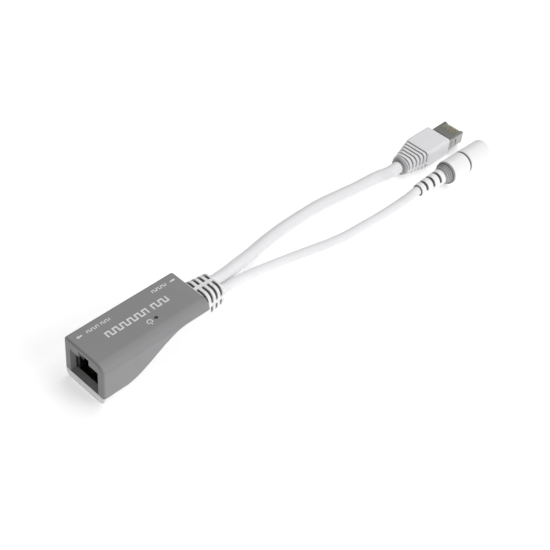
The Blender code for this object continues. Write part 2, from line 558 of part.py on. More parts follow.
BODY_TOP = PLUG_TOP - SHIELD_T - 0.2
plug_body = box("plug_body", (-5.6, -21.4, SHIELD_Z0 + SHIELD_T + 0.2), (5.6, 0.0, BODY_TOP), CLEAR, plug)
bevel(plug_body, 0.2, 1)
BLADE_PITCH = 1.016
boolean(plug_body, box("blade_well", (-4.15, -4.9, BODY_TOP - 3.9), (4.15, -1.1, BODY_TOP - 2.9), parent=plug, cutter=True))
for i in range(8):
    x = (i - 3.5) * BLADE_PITCH
    boolean(plug_body, box(f"blade_slot_{i}", (x - 0.33, -4.9, BODY_TOP - 3.7), (x + 0.33, 1.0, BODY_TOP + 1), parent=plug, cutter=True))

# eight gold blades joined by a thin bar in the well underneath
contacts = box("plug_contacts", (-3.95, -4.7, BODY_TOP - 3.7), (3.95, -3.9, BODY_TOP - 3.1), GOLD, plug)
for i in range(8):
    x = (i - 3.5) * BLADE_PITCH
    boolean(contacts, box(f"blade_{i}", (x - 0.15, -4.7, BODY_TOP - 3.4), (x + 0.15, -0.55, BODY_TOP - 0.35), parent=plug, cutter=True), "UNION")

# latch lever under the plug, rooted at the nose, free end inside the boot's notch
LATCH_Y, LATCH_Z = -0.9, 1.6
latch_axis = bpy.data.objects.new("plug_latch_axis", None)
latch_axis.parent = plug
latch_axis.location = (0, LATCH_Y * MM, LATCH_Z * MM)
parts.objects.link(latch_axis)
lever = [(0.75, 0.45), (0.75, -0.45), (0.1, -0.62), (-5.5, -1.05), (-13.8, -1.42), (-13.8, -0.72), (-5.5, -0.3), (-1.6, 0.45)]
plug_latch = outline_solid("plug_latch", lever, -1.55, 1.55, "YZ", CLEAR, latch_axis)
boolean(plug_latch, box("latch_shoulder", (-3.0, -6.6, -1.12), (3.0, -5.2, -0.35), parent=latch_axis, cutter=True), "UNION")

# ---------------------------------------------------------------- in-line DC socket
socket = frame_at("dc_frame", DC_X, DC_Y, DC_Z, DC_YAW)
RING = 0.47
turned("dc_front_shell", [(DC_R - 0.5, DC_FRONT), (DC_R, DC_FRONT - 0.5), (DC_R, RING + 0.25), (DC_R - 0.25, RING), (4.75, RING), (4.75, DC_FRONT)],
       WHITE, socket, steps=40)
turned("dc_rear_shell", [(DC_R - 0.2, -RING), (DC_R, -RING - 0.2), (DC_R, DC_REAR + 0.3), (DC_R - 0.3, DC_REAR), (4.75, DC_REAR), (4.75, -RING)],
       WHITE, socket, steps=40)
BORE_R, BORE_BASE = 3.35, 5.4
dc_core = turned("dc_core", [(0, BORE_BASE), (BORE_R, BORE_BASE), (BORE_R, DC_FRONT - 0.5), (4.4, DC_FRONT - 0.5), (4.4, 0.28), (5.5, 0.28), (5.5, -0.28),
                             (4.4, -0.28), (4.4, DC_REAR - 0.35), (5.65, DC_REAR - 0.35), (5.65, DC_REAR - 1.1), (5.0, DC_REAR - 1.3), (4.2, -16.9), (2.45, -16.9),
                             (2.45, -13.2), (0, -13.2)],
                 CORE_GREY, socket, steps=40)
boolean(dc_core, box("core_spring_slot", (-1.0, BORE_BASE, 2.4), (1.0, 14.4, 4.05), parent=socket, cutter=True))
dc_sleeve = turned("dc_sleeve", [(2.85, BORE_BASE + 0.3), (2.85, 14.6), (3.1, 14.6), (3.1, BORE_BASE + 0.3)], STEEL, socket, steps=28)
boolean(dc_sleeve, box("sleeve_slot", (-0.9, BORE_BASE + 1.6, 2.0), (0.9, 18.0, 4.0), parent=socket, cutter=True))
turned("dc_pin", [(0, 14.4), (0.55, 14.3), (1.0, 13.7), (1.0, BORE_BASE + 1.2), (1.7, BORE_BASE + 1.0), (1.7, BORE_BASE + 0.3), (0, BORE_BASE + 0.3)],
       BRASS, socket, steps=20)
leaf_axis = bpy.data.objects.new("dc_contact_axis", None)
leaf_axis.parent = socket
leaf_axis.location = (0, (BORE_BASE + 2.4) * MM, 3.45 * MM)
parts.objects.link(leaf_axis)
outline_solid("dc_spring_contact", [(-0.35, 0.2), (-0.35, -0.2), (0.4, -0.2), (3.6, -0.8), (5.4, -0.35), (5.4, 0.0), (3.6, -0.45), (0.4, 0.2)],
              -0.6, 0.6, "YZ", STEEL, leaf_axis)

dc_relief = turned("dc_relief", [(0, DC_RELIEF_END), (DC_RELIEF_R1 - 0.35, DC_RELIEF_END), (DC_RELIEF_R1, DC_RELIEF_END + 0.35),
                                 (DC_RELIEF_R0, -17.2), (2.15, -17.2), (2.15, -13.5), (0, -13.5)], SOFT_WHITE, socket, steps=32)
relief_cut = box("dc_relief_slots", (-8, -20.7 - 0.8, -8), (8, -20.7 + 0.8, 8), parent=socket, cutter=True)
array = relief_cut.modifiers.new("Array", "ARRAY")
array.count = 3
array.use_relative_offset = False
array.use_constant_offset = True
array.constant_offset_displace = (0, -4.7 * MM, 0)
boolean(relief_cut, cylinder("dc_relief_core", (0, 0), 2.25, -36, -15, "Y", parent=socket, cutter=True))
boolean(relief_cut, box("dc_relief_bridge", (-9, -36, -1.3), (9, -15, 0.1), parent=socket, cutter=True))
boolean(dc_relief, relief_cut)
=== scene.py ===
"""Looks for the in-line power injector: detailed skins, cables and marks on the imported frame."""
import math

import bmesh
import bpy
import numpy as np
from mathutils import Matrix, Vector


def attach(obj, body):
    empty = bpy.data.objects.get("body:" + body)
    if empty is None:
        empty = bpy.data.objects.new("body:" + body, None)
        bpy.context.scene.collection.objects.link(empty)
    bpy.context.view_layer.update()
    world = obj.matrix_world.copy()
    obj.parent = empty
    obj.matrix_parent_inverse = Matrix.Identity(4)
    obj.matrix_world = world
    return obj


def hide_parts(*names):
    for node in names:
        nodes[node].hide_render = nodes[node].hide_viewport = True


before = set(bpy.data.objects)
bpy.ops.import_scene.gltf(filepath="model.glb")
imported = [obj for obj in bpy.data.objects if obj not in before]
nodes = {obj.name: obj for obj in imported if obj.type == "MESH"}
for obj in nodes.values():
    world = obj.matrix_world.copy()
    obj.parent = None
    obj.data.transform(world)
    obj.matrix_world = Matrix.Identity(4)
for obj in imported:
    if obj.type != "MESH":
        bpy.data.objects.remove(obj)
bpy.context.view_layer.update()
BODY = "injector"
MM = 0.001

# ------------------------------------------------------------------ camera
right, up, back = Vector((0.70943, 0.70094, 0.07341)), Vector((-0.52201, 0.45261, 0.72294)), Vector((0.47351, -0.55120, 0.68700))
cam_data = bpy.data.cameras.new("camera")
cam_data.lens, cam_data.sensor_width = 80.37, 36.0
cam_data.clip_start, cam_data.clip_end = 0.02, 20.0
cam = bpy.data.objects.new("camera", cam_data)
bpy.context.scene.collection.objects.link(cam)
cam.matrix_world = Matrix((
    (right.x, up.x, back.x, 0.26335),
    (right.y, up.y, back.y, -0.22573),
    (right.z, up.z, back.z, 0.37809),
    (0, 0, 0, 1)))
bpy.context.scene.camera = cam

# ------------------------------------------------------------------ dimensions, as the CAD has them
LENGTH, WIDTH, TOP_Z, BASE_Z = 57.0, 24.4, 22.5, 0.2
HALF = LENGTH / 2
R_NEAR_TOP, R_FAR_TOP, R_BOTTOM = 4.6, 1.5, 3.5
WALL, FRONT_WALL, GAP, SEAM_GAP = 1.7, 2.4, 0.3, 0.16
SEAM_FRONT_Z, SEAM_REAR_Z, SEAM_Y0, SEAM_Y1 = 4.95, 18.3, -17.5, 15.5
WINDOW_FRONT, WINDOW_REAR = (8.6, 5.3, 17.7, 3.1, 20.4), (7.7, 7.3, 16.9, 2.7, 19.8)
LED_X, LED_Y = 4.1, 5.5
RELIEF_LEN, RELIEF_SLOTS, RELIEF_PITCH, RELIEF_FIRST, RELIEF_SLOT = 13.2, 4, 3.0, 2.05, 1.45
NECK_C, RELIEF_C0, RELIEF_C1, RELIEF_S0, RELIEF_S1 = (0.6, 15.35), (0.85, 13.6), (0.25, 13.0), (7.85, 6.85), (6.5, 5.9)
NECK = (7.4, 4.1)
DATA_D, DC_D = 6.2, 4.5
PLUG_X, PLUG_Y, PLUG_YAW, PLUG_TOP, PLUG_HALF, PLUG_VISIBLE = -8.35, 218.65, -0.33, 8.84, 6.05, 11.95
BOOT_W, BOOT_H, BOOT_LEN, BOOT_SIDE = 15.1, 10.0, 31.8, -0.85
BOOT_GROOVES, BOOT_PITCH, BOOT_FIRST, BOOT_GROOVE = 6, 2.3, 29.75, 0.95
DC_X, DC_Y, DC_Z, DC_YAW, DC_R, DC_FRONT, DC_REAR = 11.2, 200.8, 6.02, 0.815, 6.0, 16.0, -12.2
DC_RELIEF_END, DC_RELIEF_R0, DC_RELIEF_R1 = -33.6, 4.0, 3.15
tip = HALF + RELIEF_LEN
boot_end = PLUG_VISIBLE + BOOT_LEN
BOOT_AXIS_Z, BOOT_BOTTOM = 4.95, 0.05
EPS = 0.04          # skins sit this far inside the CAD's faces


# ------------------------------------------------------------------ materials
def plastic(name, colour, rough, vary=0.04, grain=900.0, bump=0.12, bump_mm=0.02, coat=0.0, spec=0.5, mottle=60.0, sss=0.0):
    """Moulded plastic: a faint mottle in the colour, a fine grain in the roughness and the surface."""
    mat = bpy.data.materials.new(name)
    mat.use_nodes = True
    nt = mat.node_tree
    bsdf = nt.nodes["Principled BSDF"]
    coord = nt.nodes.new("ShaderNodeTexCoord")
    wide = nt.nodes.new("ShaderNodeTexNoise")
    wide.inputs["Scale"].default_value = mottle
    wide.inputs["Detail"].default_value = 4
    fine = nt.nodes.new("ShaderNodeTexNoise")
    fine.inputs["Scale"].default_value = grain
    fine.inputs["Detail"].default_value = 3
    nt.links.new(coord.outputs["Object"], wide.inputs["Vector"])
    nt.links.new(coord.outputs["Object"], fine.inputs["Vector"])
    ramp = nt.nodes.new("ShaderNodeValToRGB")
    ramp.color_ramp.elements[0].position, ramp.color_ramp.elements[1].position = 0.3, 0.7
    ramp.color_ramp.elements[0].color = (*[min(1, c * (1 - vary)) for c in colour], 1)
    ramp.color_ramp.elements[1].color = (*[min(1, c * (1 + vary)) for c in colour], 1)
    mix = nt.nodes.new("ShaderNodeMix")
    mix.data_type = "FLOAT"
    mix.inputs[0].default_value = 0.35
    nt.links.new(wide.outputs["Fac"], mix.inputs[2])
    nt.links.new(fine.outputs["Fac"], mix.inputs[3])
    nt.links.new(mix.outputs[0], ramp.inputs["Fac"])
    nt.links.new(ramp.outputs["Color"], bsdf.inputs["Base Color"])
    span = nt.nodes.new("ShaderNodeMapRange")
    span.inputs["To Min"].default_value, span.inputs["To Max"].default_value = rough - 0.05, rough + 0.06
    nt.links.new(fine.outputs["Fac"], span.inputs["Value"])
    nt.links.new(span.outputs["Result"], bsdf.inputs["Roughness"])
    bmp = nt.nodes.new("ShaderNodeBump")
    bmp.inputs["Strength"].default_value = bump
    bmp.inputs["Distance"].default_value = bump_mm * MM
    nt.links.new(fine.outputs["Fac"], bmp.inputs["Height"])
    nt.links.new(bmp.outputs["Normal"], bsdf.inputs["Normal"])
    bsdf.inputs["Coat Weight"].default_value = coat
    bsdf.inputs["Specular IOR Level"].default_value = spec
    if sss:
        bsdf.inputs["Subsurface Weight"].default_value = sss
        bsdf.inputs["Subsurface Scale"].default_value = 0.001
    return mat


def metal(name, colour, rough, grain=700.0, stretch=(1, 12, 1), vary=0.08):
    mat = plastic(name, colour, rough, vary=vary, grain=grain, bump=0.18, bump_mm=0.015, mottle=180.0)
    nt = mat.node_tree
    bsdf = nt.nodes["Principled BSDF"]
    bsdf.inputs["Metallic"].default_value = 1.0
    coord = next(n for n in nt.nodes if n.bl_idname == "ShaderNodeTexCoord")
    mapping = nt.nodes.new("ShaderNodeMapping")
    mapping.inputs["Scale"].default_value = stretch
    nt.links.new(coord.outputs["Object"], mapping.inputs["Vector"])
    for n in nt.nodes:
        if n.bl_idname == "ShaderNodeTexNoise":
            nt.links.new(mapping.outputs["Vector"], n.inputs["Vector"])
    return mat


GREY = plastic("grey_cover_plastic", (0.272, 0.272, 0.278), 0.5, vary=0.035, grain=2600, bump=0.25, bump_mm=0.02, spec=0.4)
WHITE = plastic("white_shell_plastic", (0.92, 0.915, 0.925), 0.42, vary=0.012, grain=2200, bump=0.1, bump_mm=0.012, spec=0.45)
SOFT = plastic("relief_plastic", (0.83, 0.82, 0.83), 0.55, vary=0.015, grain=1800, bump=0.15, bump_mm=0.015, spec=0.35)
BOOT = plastic("boot_plastic", (0.83, 0.82, 0.835), 0.55, vary=0.015, grain=1800, bump=0.18, bump_mm=0.015, spec=0.35)
JACKET = plastic("cable_jacket_pvc", (0.85, 0.845, 0.86), 0.42, vary=0.015, grain=1500, bump=0.12, bump_mm=0.015, spec=0.45)
BLACK = plastic("jack_plastic", (0.012, 0.012, 0.012), 0.45, vary=0.15, grain=1500, bump=0.15)
# painted shade: near-black material for the sheets laid under the relief slots, so the slots read dark
DARK = plastic("painted_slot_shade", (0.055, 0.054, 0.052), 0.6, vary=0.08, grain=1500, bump=0.1)
# painted shade: mid-grey material for the boot grooves and the crease behind the DC barrel
GROOVE = plastic("painted_mid_shade", (0.24, 0.236, 0.236), 0.6, vary=0.04, grain=1500, bump=0.1)
CORE = plastic("dc_core_plastic", (0.42, 0.415, 0.41), 0.5, vary=0.06, grain=1500, bump=0.12)
# painted shade: grey material for the boot's rear end face, which is in shadow
BOOT_END_SHADE = plastic("painted_boot_end_shade", (0.40, 0.395, 0.395), 0.55, vary=0.03, grain=1500, bump=0.12)
# painted shade: dark material for the edge lines, grooves and end rims that sit in shadow
RIM = plastic("painted_deep_shade", (0.13, 0.128, 0.125), 0.5, vary=0.08, grain=1500, bump=0.12)
PRINT = plastic("white_ink", (0.80, 0.80, 0.80), 0.5, vary=0.05, grain=3000, bump=0.08, bump_mm=0.006, mottle=400)
NOSE = plastic("frosted_nose_plastic", (0.33, 0.33, 0.30), 0.22, vary=0.05, grain=1200, bump=0.06, coat=0.2)
PIPE = plastic("light_pipe_plastic", (0.05, 0.06, 0.05), 0.2, vary=0.1, grain=900, bump=0.04)
BOARD = plastic("board_solder_mask", (0.02, 0.15, 0.06), 0.4, vary=0.12, grain=1200, bump=0.1, mottle=250)
FERRITE = plastic("ferrite_ceramic", (0.08, 0.08, 0.085), 0.7, vary=0.15, grain=1600, bump=0.3)
STEEL = metal("nickel_shell", (0.37, 0.37, 0.355), 0.3)
GOLD = metal("gold_plate", (0.80, 0.66, 0.34), 0.25)
BRASS = metal("pin_plate", (0.72, 0.66, 0.50), 0.28)
CAN = metal("capacitor_can", (0.55, 0.56, 0.58), 0.35)
INKS = {"wire_red": (0.45, 0.03, 0.02), "wire_black": (0.02, 0.02, 0.02), "wire_blue": (0.03, 0.08, 0.38),
        "wire_orange": (0.65, 0.22, 0.03), "wire_green": (0.03, 0.27, 0.08), "wire_brown": (0.18, 0.08, 0.04)}
WIRES = {k: plastic(k + "_insulation", v, 0.45, vary=0.06, grain=1500, bump=0.1) for k, v in INKS.items()}


def paint(node, mat):
    ob = nodes[node]
    if not ob.material_slots:
        ob.data.materials.append(mat)
    for s in ob.material_slots:
        s.material = mat


for node, mat in {"circuit_board": BOARD, "jack_housing": BLACK, "jack_contacts": GOLD, "lan_transformer": BLACK, "inductor": FERRITE,
                  "capacitor": CAN, "fuse": SOFT, "protection_diode": BLACK, "status_led": PIPE, "light_pipe": PIPE,
                  "data_pair_orange": WIRES["wire_orange"], "data_pair_green": WIRES["wire_green"],
                  "data_pair_blue": WIRES["wire_blue"], "data_pair_brown": WIRES["wire_brown"],
                  "dc_lead_positive": WIRES["wire_red"], "dc_lead_negative": WIRES["wire_black"],
                  "dc_sleeve": STEEL, "dc_pin": BRASS, "dc_spring_contact": STEEL, "plug_latch": NOSE,
                  "plug_contacts": GOLD, "top_cover": GREY, "bottom_cover": WHITE, "strain_relief": SOFT,
                  "data_cable": JACKET, "dc_cable": JACKET, "plug_boot": BOOT, "plug_body": NOSE, "plug_shield": STEEL,
                  "dc_core": CORE, "dc_front_shell": WHITE, "dc_rear_shell": WHITE, "dc_relief": SOFT}.items():
    paint(node, mat)


# ------------------------------------------------------------------ mesh tools
def put(name, mesh, mat=None):
    ob = bpy.data.objects.new(name, mesh)
    bpy.context.scene.collection.objects.link(ob)
    if mat:
        mesh.materials.append(mat)
    return ob


def from_bm(name, bm, mat=None):
    bmesh.ops.recalc_face_normals(bm, faces=bm.faces)
    mesh = bpy.data.meshes.new(name)
    bm.to_mesh(mesh)
    bm.free()
    return put(name, mesh, mat)


def box(name, lo, hi, mat=None):
    bm = bmesh.new()
    bmesh.ops.create_cube(bm, size=1.0)
    bmesh.ops.scale(bm, vec=[(b - a) * MM for a, b in zip(lo, hi)], verts=bm.verts)
    bmesh.ops.translate(bm, vec=[(a + b) / 2 * MM for a, b in zip(lo, hi)], verts=bm.verts)
    return from_bm(name, bm, mat)


def prism(name, points, lo, hi, plane, mat=None):
    """A filled outline between lo and hi along the axis normal to plane."""
    bm = bmesh.new()
    place = {"XY": lambda a, b, c: (a, b, c), "XZ": lambda a, b, c: (a, c, b), "YZ": lambda a, b, c: (c, a, b)}[plane]
    low = [bm.verts.new(Vector(place(a, b, lo)) * MM) for a, b in points]
    high = [bm.verts.new(Vector(place(a, b, hi)) * MM) for a, b in points]
    bm.faces.new(low)
    bm.faces.new(list(reversed(high)))
    n = len(points)
    for i in range(n):
        j = (i + 1) % n
        bm.faces.new((low[j], low[i], high[i], high[j]))
    return from_bm(name, bm, mat)


def loft(name, sections, mat=None):
    bm = bmesh.new()
    rings = [[bm.verts.new((x * MM, y * MM, z * MM)) for x, z in ring] for y, ring in sections]
    n = len(rings[0])
    for a, b in zip(rings, rings[1:]):
        for i in range(n):
            j = (i + 1) % n
            bm.faces.new((a[i], a[j], b[j], b[i]))
    bm.faces.new(rings[0])
    bm.faces.new(list(reversed(rings[-1])))
    return from_bm(name, bm, mat)


def turned(name, profile, mat=None, steps=72):
    """(radius, station) pairs turned about the Y axis."""
    bm = bmesh.new()
    n = len(profile)
    closed = profile[0][0] > 1e-6
    rings = []
    for r, s in profile:
        if r < 1e-6:
            rings.append([bm.verts.new((0, s * MM, 0))] * steps)
        else:
            rings.append([bm.verts.new((r * math.cos(math.tau * i / steps) * MM, s * MM, r * math.sin(math.tau * i / steps) * MM)) for i in range(steps)])
    pairs = list(zip(rings, rings[1:])) + ([(rings[-1], rings[0])] if closed else [])
    for a, b in pairs:
        for i in range(steps):
            j = (i + 1) % steps
            quad = []
            for v in (a[i], a[j], b[j], b[i]):
                if v not in quad:
                    quad.append(v)
            if len(quad) > 2:
                bm.faces.new(quad)
    return from_bm(name, bm, mat)


def apply(ob):
    mesh = bpy.data.meshes.new_from_object(ob.evaluated_get(bpy.context.evaluated_depsgraph_get()))
    old = ob.data
    ob.modifiers.clear()
    ob.data = mesh
    bpy.data.meshes.remove(old)
    return ob


def cut(ob, cutter, operation="DIFFERENCE"):
    mod = ob.modifiers.new("Boolean", "BOOLEAN")
    mod.operation, mod.solver, mod.object = operation, "EXACT", cutter
    bpy.context.view_layer.update()
    apply(ob)
    bpy.data.objects.remove(cutter)
    return ob


def finish_edges(ob, width=0.0, segments=2, angle=40, sharp=38):
    """Small moulded radii on hard edges, then normals that keep flat faces flat."""
    bm = bmesh.new()
    bm.from_mesh(ob.data)
    bmesh.ops.remove_doubles(bm, verts=bm.verts, dist=2e-6)
    bmesh.ops.dissolve_degenerate(bm, edges=bm.edges, dist=2e-6)
    bm.to_mesh(ob.data)
    bm.free()
    if width:
        mod = ob.modifiers.new("Bevel", "BEVEL")
        mod.width, mod.segments, mod.limit_method = width * MM, segments, "ANGLE"
        mod.angle_limit = math.radians(angle)
        mod.harden_normals = False
        bpy.context.view_layer.update()
        apply(ob)
    ob.data.shade_smooth()
    ob.data.set_sharp_from_angle(angle=math.radians(sharp))
    mod = ob.modifiers.new("Normals", "WEIGHTED_NORMAL")
    mod.keep_sharp = True
    mod.weight = 80
    return ob


def rounded(x0, x1, z0, z1, radii, steps=10):
    corners = ((x1, z1, 0), (x0, z1, 1), (x0, z0, 2), (x1, z0, 3))
    points = []
    for (x, z, quarter), r in zip(corners, radii):
        cx, cz = x - r * (1 if x == x1 else -1), z - r * (1 if z == z1 else -1)
        for i in range(steps + 1):
            a = (quarter + i / steps) * math.pi / 2
            points.append((cx + r * math.cos(a), cz + r * math.sin(a)))
    return points


def oval(cx, cz, w, h, r, steps=10):
    return rounded(cx - w, cx + w, cz - h, cz + h, (r,) * 4, steps)


def place(ob, x, y, z, yaw):
    ob.location = (x * MM, y * MM, z * MM)
    ob.rotation_euler.z = -math.radians(yaw)
    bpy.context.view_layer.update()
    ob.data.transform(ob.matrix_world)
    ob.matrix_world = Matrix.Identity(4)
    return ob


def plug_piece(ob):
    return place(ob, PLUG_X, PLUG_Y, 0, PLUG_YAW)


def dc_piece(ob):
    return place(ob, DC_X, DC_Y, DC_Z, DC_YAW)


def done(ob, slot, *replaced):
    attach(ob, BODY)
    if replaced:
        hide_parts(*replaced)
    return ob


# ------------------------------------------------------------------ cords
def smooth_path(route, spacing):
    pts = [np.array(p, float) for p in route]
    ends = [2 * pts[0] - pts[1], *pts, 2 * pts[-1] - pts[-2]]
    fine = []
    for p0, p1, p2, p3 in zip(ends, ends[1:], ends[2:], ends[3:]):
        t0 = 0.0
        t1 = t0 + np.linalg.norm(p1 - p0) ** 0.5
        t2 = t1 + np.linalg.norm(p2 - p1) ** 0.5
        t3 = t2 + np.linalg.norm(p3 - p2) ** 0.5
        for t in np.linspace(t1, t2, 24, endpoint=False):
            a1 = (t1 - t) / (t1 - t0) * p0 + (t - t0) / (t1 - t0) * p1
            a2 = (t2 - t) / (t2 - t1) * p1 + (t - t1) / (t2 - t1) * p2
            a3 = (t3 - t) / (t3 - t2) * p2 + (t - t2) / (t3 - t2) * p3
            b1 = (t2 - t) / (t2 - t0) * a1 + (t - t0) / (t2 - t0) * a2
            b2 = (t3 - t) / (t3 - t1) * a2 + (t - t1) / (t3 - t1) * a3
            fine.append((t2 - t) / (t2 - t1) * b1 + (t - t1) / (t2 - t1) * b2)
    fine.append(pts[-1])
    fine = np.array(fine)
    run = np.concatenate([[0], np.cumsum(np.linalg.norm(np.diff(fine, axis=0), axis=1))])
    count = max(2, int(round(run[-1] / spacing)) + 1)
    at = np.linspace(0, run[-1], count)
    return np.stack([np.interp(at, run, fine[:, k]) for k in range(3)], 1), run[-1]


cos_p, sin_p = math.cos(math.radians(PLUG_YAW)), math.sin(math.radians(PLUG_YAW))
cos_d, sin_d = math.cos(math.radians(DC_YAW)), math.sin(math.radians(DC_YAW))


def plug_point(away, z):
    return (PLUG_X - away * sin_p, PLUG_Y - away * cos_p, z)


def dc_point(station, z):
    return (DC_X + station * sin_d, DC_Y + station * cos_d, z)


DATA_EXIT, DC_EXIT = (-1.55, 14.45), (4.08, 14.05)
DATA_ROUTE = [
    (DATA_EXIT[0], tip + GAP, DATA_EXIT[1]), (DATA_EXIT[0], tip + GAP + 2.2, DATA_EXIT[1]), (-2.05, 47.5, 13.8), (-3.15, 52.0, 12.55),
    (-5.5, 60.0, 10.3), (-8.95, 72.6, 7.0), (-12.5, 87.1, 4.6),
    (-14.4, 100.3, 3.5), (-14.95, 113.0, 3.15), (-14.85, 125.3, 3.15), (-13.4, 137.8, 3.15), (-11.8, 150.6, 3.2), (-10.4, 162.0, 3.9),
    plug_point(boot_end + 6.0, 4.8), plug_point(boot_end + 2.8, BOOT_AXIS_Z), plug_point(boot_end + GAP, BOOT_AXIS_Z),
]
DC_ROUTE = [
    (DC_EXIT[0], tip + GAP, DC_EXIT[1]), (DC_EXIT[0], tip + GAP + 1.8, DC_EXIT[1]), (3.6, 46.7, 13.45), (2.65, 52.0, 12.05),
    (1.2, 62.0, 8.7), (0.35, 72.5, 5.6), (0.7, 83.7, 3.3),
    (2.95, 97.0, 2.4), (5.9, 109.8, 2.3), (7.4, 119.0, 2.3), (8.1, 129.0, 2.3), (8.9, 142.0, 2.5), (9.7, 154.0, 3.6),
    dc_point(DC_RELIEF_END - 5.0, 5.6), dc_point(DC_RELIEF_END - 2.6, DC_Z), dc_point(DC_RELIEF_END - GAP, DC_Z),
]


def cord(name, route, diameter, mat, node):
    points, length = smooth_path(route, 2.0)
    curve = bpy.data.curves.new(name, "CURVE")
    curve.dimensions = "3D"
    curve.bevel_depth = diameter / 2 * 0.996 * MM
    curve.bevel_resolution = 8
    curve.use_fill_caps = True
    spline = curve.splines.new("POLY")
    spline.points.add(len(points) - 1)
    for p, co in zip(spline.points, points):
        p.co = (*(co * MM), 1)
    spline.use_smooth = True
    curve.materials.append(mat)
    ob = bpy.data.objects.new(name, curve)
    bpy.context.scene.collection.objects.link(ob)
    done(ob, "cable_jacket", node)
    return ob, length * MM


data_cord, data_length = cord("data_cable_jacket", DATA_ROUTE, DATA_D, JACKET, "data_cable")
dc_cord, dc_length = cord("dc_cable_jacket", DC_ROUTE, DC_D, JACKET, "dc_cable")

# ------------------------------------------------------------------ housing skins
def seam_z(y):
    t = min(1.0, max(0.0, (y - SEAM_Y0) / (SEAM_Y1 - SEAM_Y0)))
    return SEAM_FRONT_Z + (SEAM_REAR_Z - SEAM_FRONT_Z) * t * t * (3 - 2 * t)


def blank(name, mat):
    """The whole rounded case, its front and rear edges rolled over by stepped rings."""
    def ring(inset):
        e = EPS + inset
        return rounded(-WIDTH / 2 + e, WIDTH / 2 - e, BASE_Z + e, TOP_Z - e,
                       (max(0.5, R_NEAR_TOP - inset), max(0.35, R_FAR_TOP - inset), max(0.5, R_BOTTOM - inset), max(0.5, R_BOTTOM - inset)), 12)
    r, n = 1.0, 6
    sections = []
    for i in range(n + 1):
        a = i / n * math.pi / 2
        sections.append((-HALF + EPS + r * (1 - math.sin(a)), ring(r * (1 - math.cos(a)))))
    sections.reverse()
    sections = sorted(sections, key=lambda s: s[0])
    rear = [(-y, ring_) for y, ring_ in reversed(sections)]
    return loft(name, sections + rear, mat)


def region(above, offset):
    ys = [-40.0] + [SEAM_Y0 + (SEAM_Y1 - SEAM_Y0) * i / 48 for i in range(49)] + [40.0]
    line = [(y, seam_z(y) + offset) for y in ys]
    far = 40.0 if above else -20.0
    return prism("region", line + [(40.0, far), (-40.0, far)], -20, 20, "YZ")


def hollow():
    return prism("hollow", rounded(-WIDTH / 2 + WALL, WIDTH / 2 - WALL, BASE_Z + WALL, TOP_Z - WALL, (R_NEAR_TOP - WALL, 0.6, R_BOTTOM - WALL, R_BOTTOM - WALL), 4),
                 -HALF + FRONT_WALL, HALF - WALL, "XZ")


def outlet():
    return loft("outlet", [(HALF - WALL - 1, oval(*NECK_C, NECK[0] + GAP, NECK[1] + GAP, 3.7)),
                           (HALF + 1, oval(*NECK_C, NECK[0] + GAP, NECK[1] + GAP, 3.7))])


def window_ring(half, z0, z1, notch, notch_z1):
    return [(-half, z0), (half, z0), (half, z1), (notch, z1), (notch, notch_z1), (-notch, notch_z1), (-notch, z1), (-half, z1)]


cover = blank("top_cover_skin", GREY)
cut(cover, hollow())
cut(cover, region(True, SEAM_GAP / 2), "INTERSECT")
cut(cover, loft("window", [(-HALF - 1, window_ring(*WINDOW_FRONT)), (-HALF + 0.25, window_ring(*WINDOW_FRONT)),
                           (-HALF + FRONT_WALL + 0.4, window_ring(*WINDOW_REAR))]))
hole = [(LED_X + 0.9 * math.cos(a * math.tau / 40), LED_Y + 0.9 * math.sin(a * math.tau / 40)) for a in range(40)]
cut(cover, prism("lamp_hole", hole, TOP_Z - WALL - 1, TOP_Z + 1, "XY"))
cut(cover, outlet())
finish_edges(cover, 0.14, 2, 50)
done(cover, "grey_plastic", "top_cover")

base = blank("bottom_cover_skin", WHITE)
cut(base, hollow())
cut(base, region(False, -SEAM_GAP / 2), "INTERSECT")
cut(base, outlet())
finish_edges(base, 0.14, 2, 50)
done(base, "white_plastic", "bottom_cover")

# raised frame and blank panels on the underside
FRAME_X, FRAME_Y0, FRAME_Y1, LINE = 7.2, -23.5, 1.5, 0.5
panel = (2 * FRAME_X - 4 * LINE) / 3
label = box("underside_frame", (-FRAME_X, FRAME_Y0, 0.01), (FRAME_X, FRAME_Y1, 0.6), WHITE)
for i in range(3):
    x0 = -FRAME_X + LINE + i * (panel + LINE)
    cut(label, box("p", (x0, FRAME_Y0 + LINE, -1.0), (x0 + panel, FRAME_Y1 - LINE, 2.0)))
finish_edges(label, 0.06, 2, 40)
done(label, "white_plastic")
for i in range(3):
    x = -FRAME_X + LINE + i * (panel + LINE) + panel / 2
    for j, (a, b) in enumerate(((-21.8, -15.0), (-13.6, -9.2), (-7.8, -1.0))):
        ob = prism(f"underside_bar_{i}_{j}", rounded(x - 0.9, x + 0.9, a, b, (0.4,) * 4, 4), 0.03, 0.5, "XY", WHITE)
        done(finish_edges(ob, 0.05, 2, 40), "white_plastic")
for i, (y0, y1) in enumerate(((5.0, 7.2), (9.5, 11.7), (14.0, 23.0))):
    ob = prism(f"underside_pad_{i}", rounded(-6.4, 6.4, y0, y1, (0.6,) * 4, 5), 0.01, 0.6, "XY", WHITE)
    done(finish_edges(ob, 0.06, 2, 40), "white_plastic")

# ------------------------------------------------------------------ printed marks on the cover
INK0, INK1 = TOP_Z - EPS - 0.01, TOP_Z - 0.008


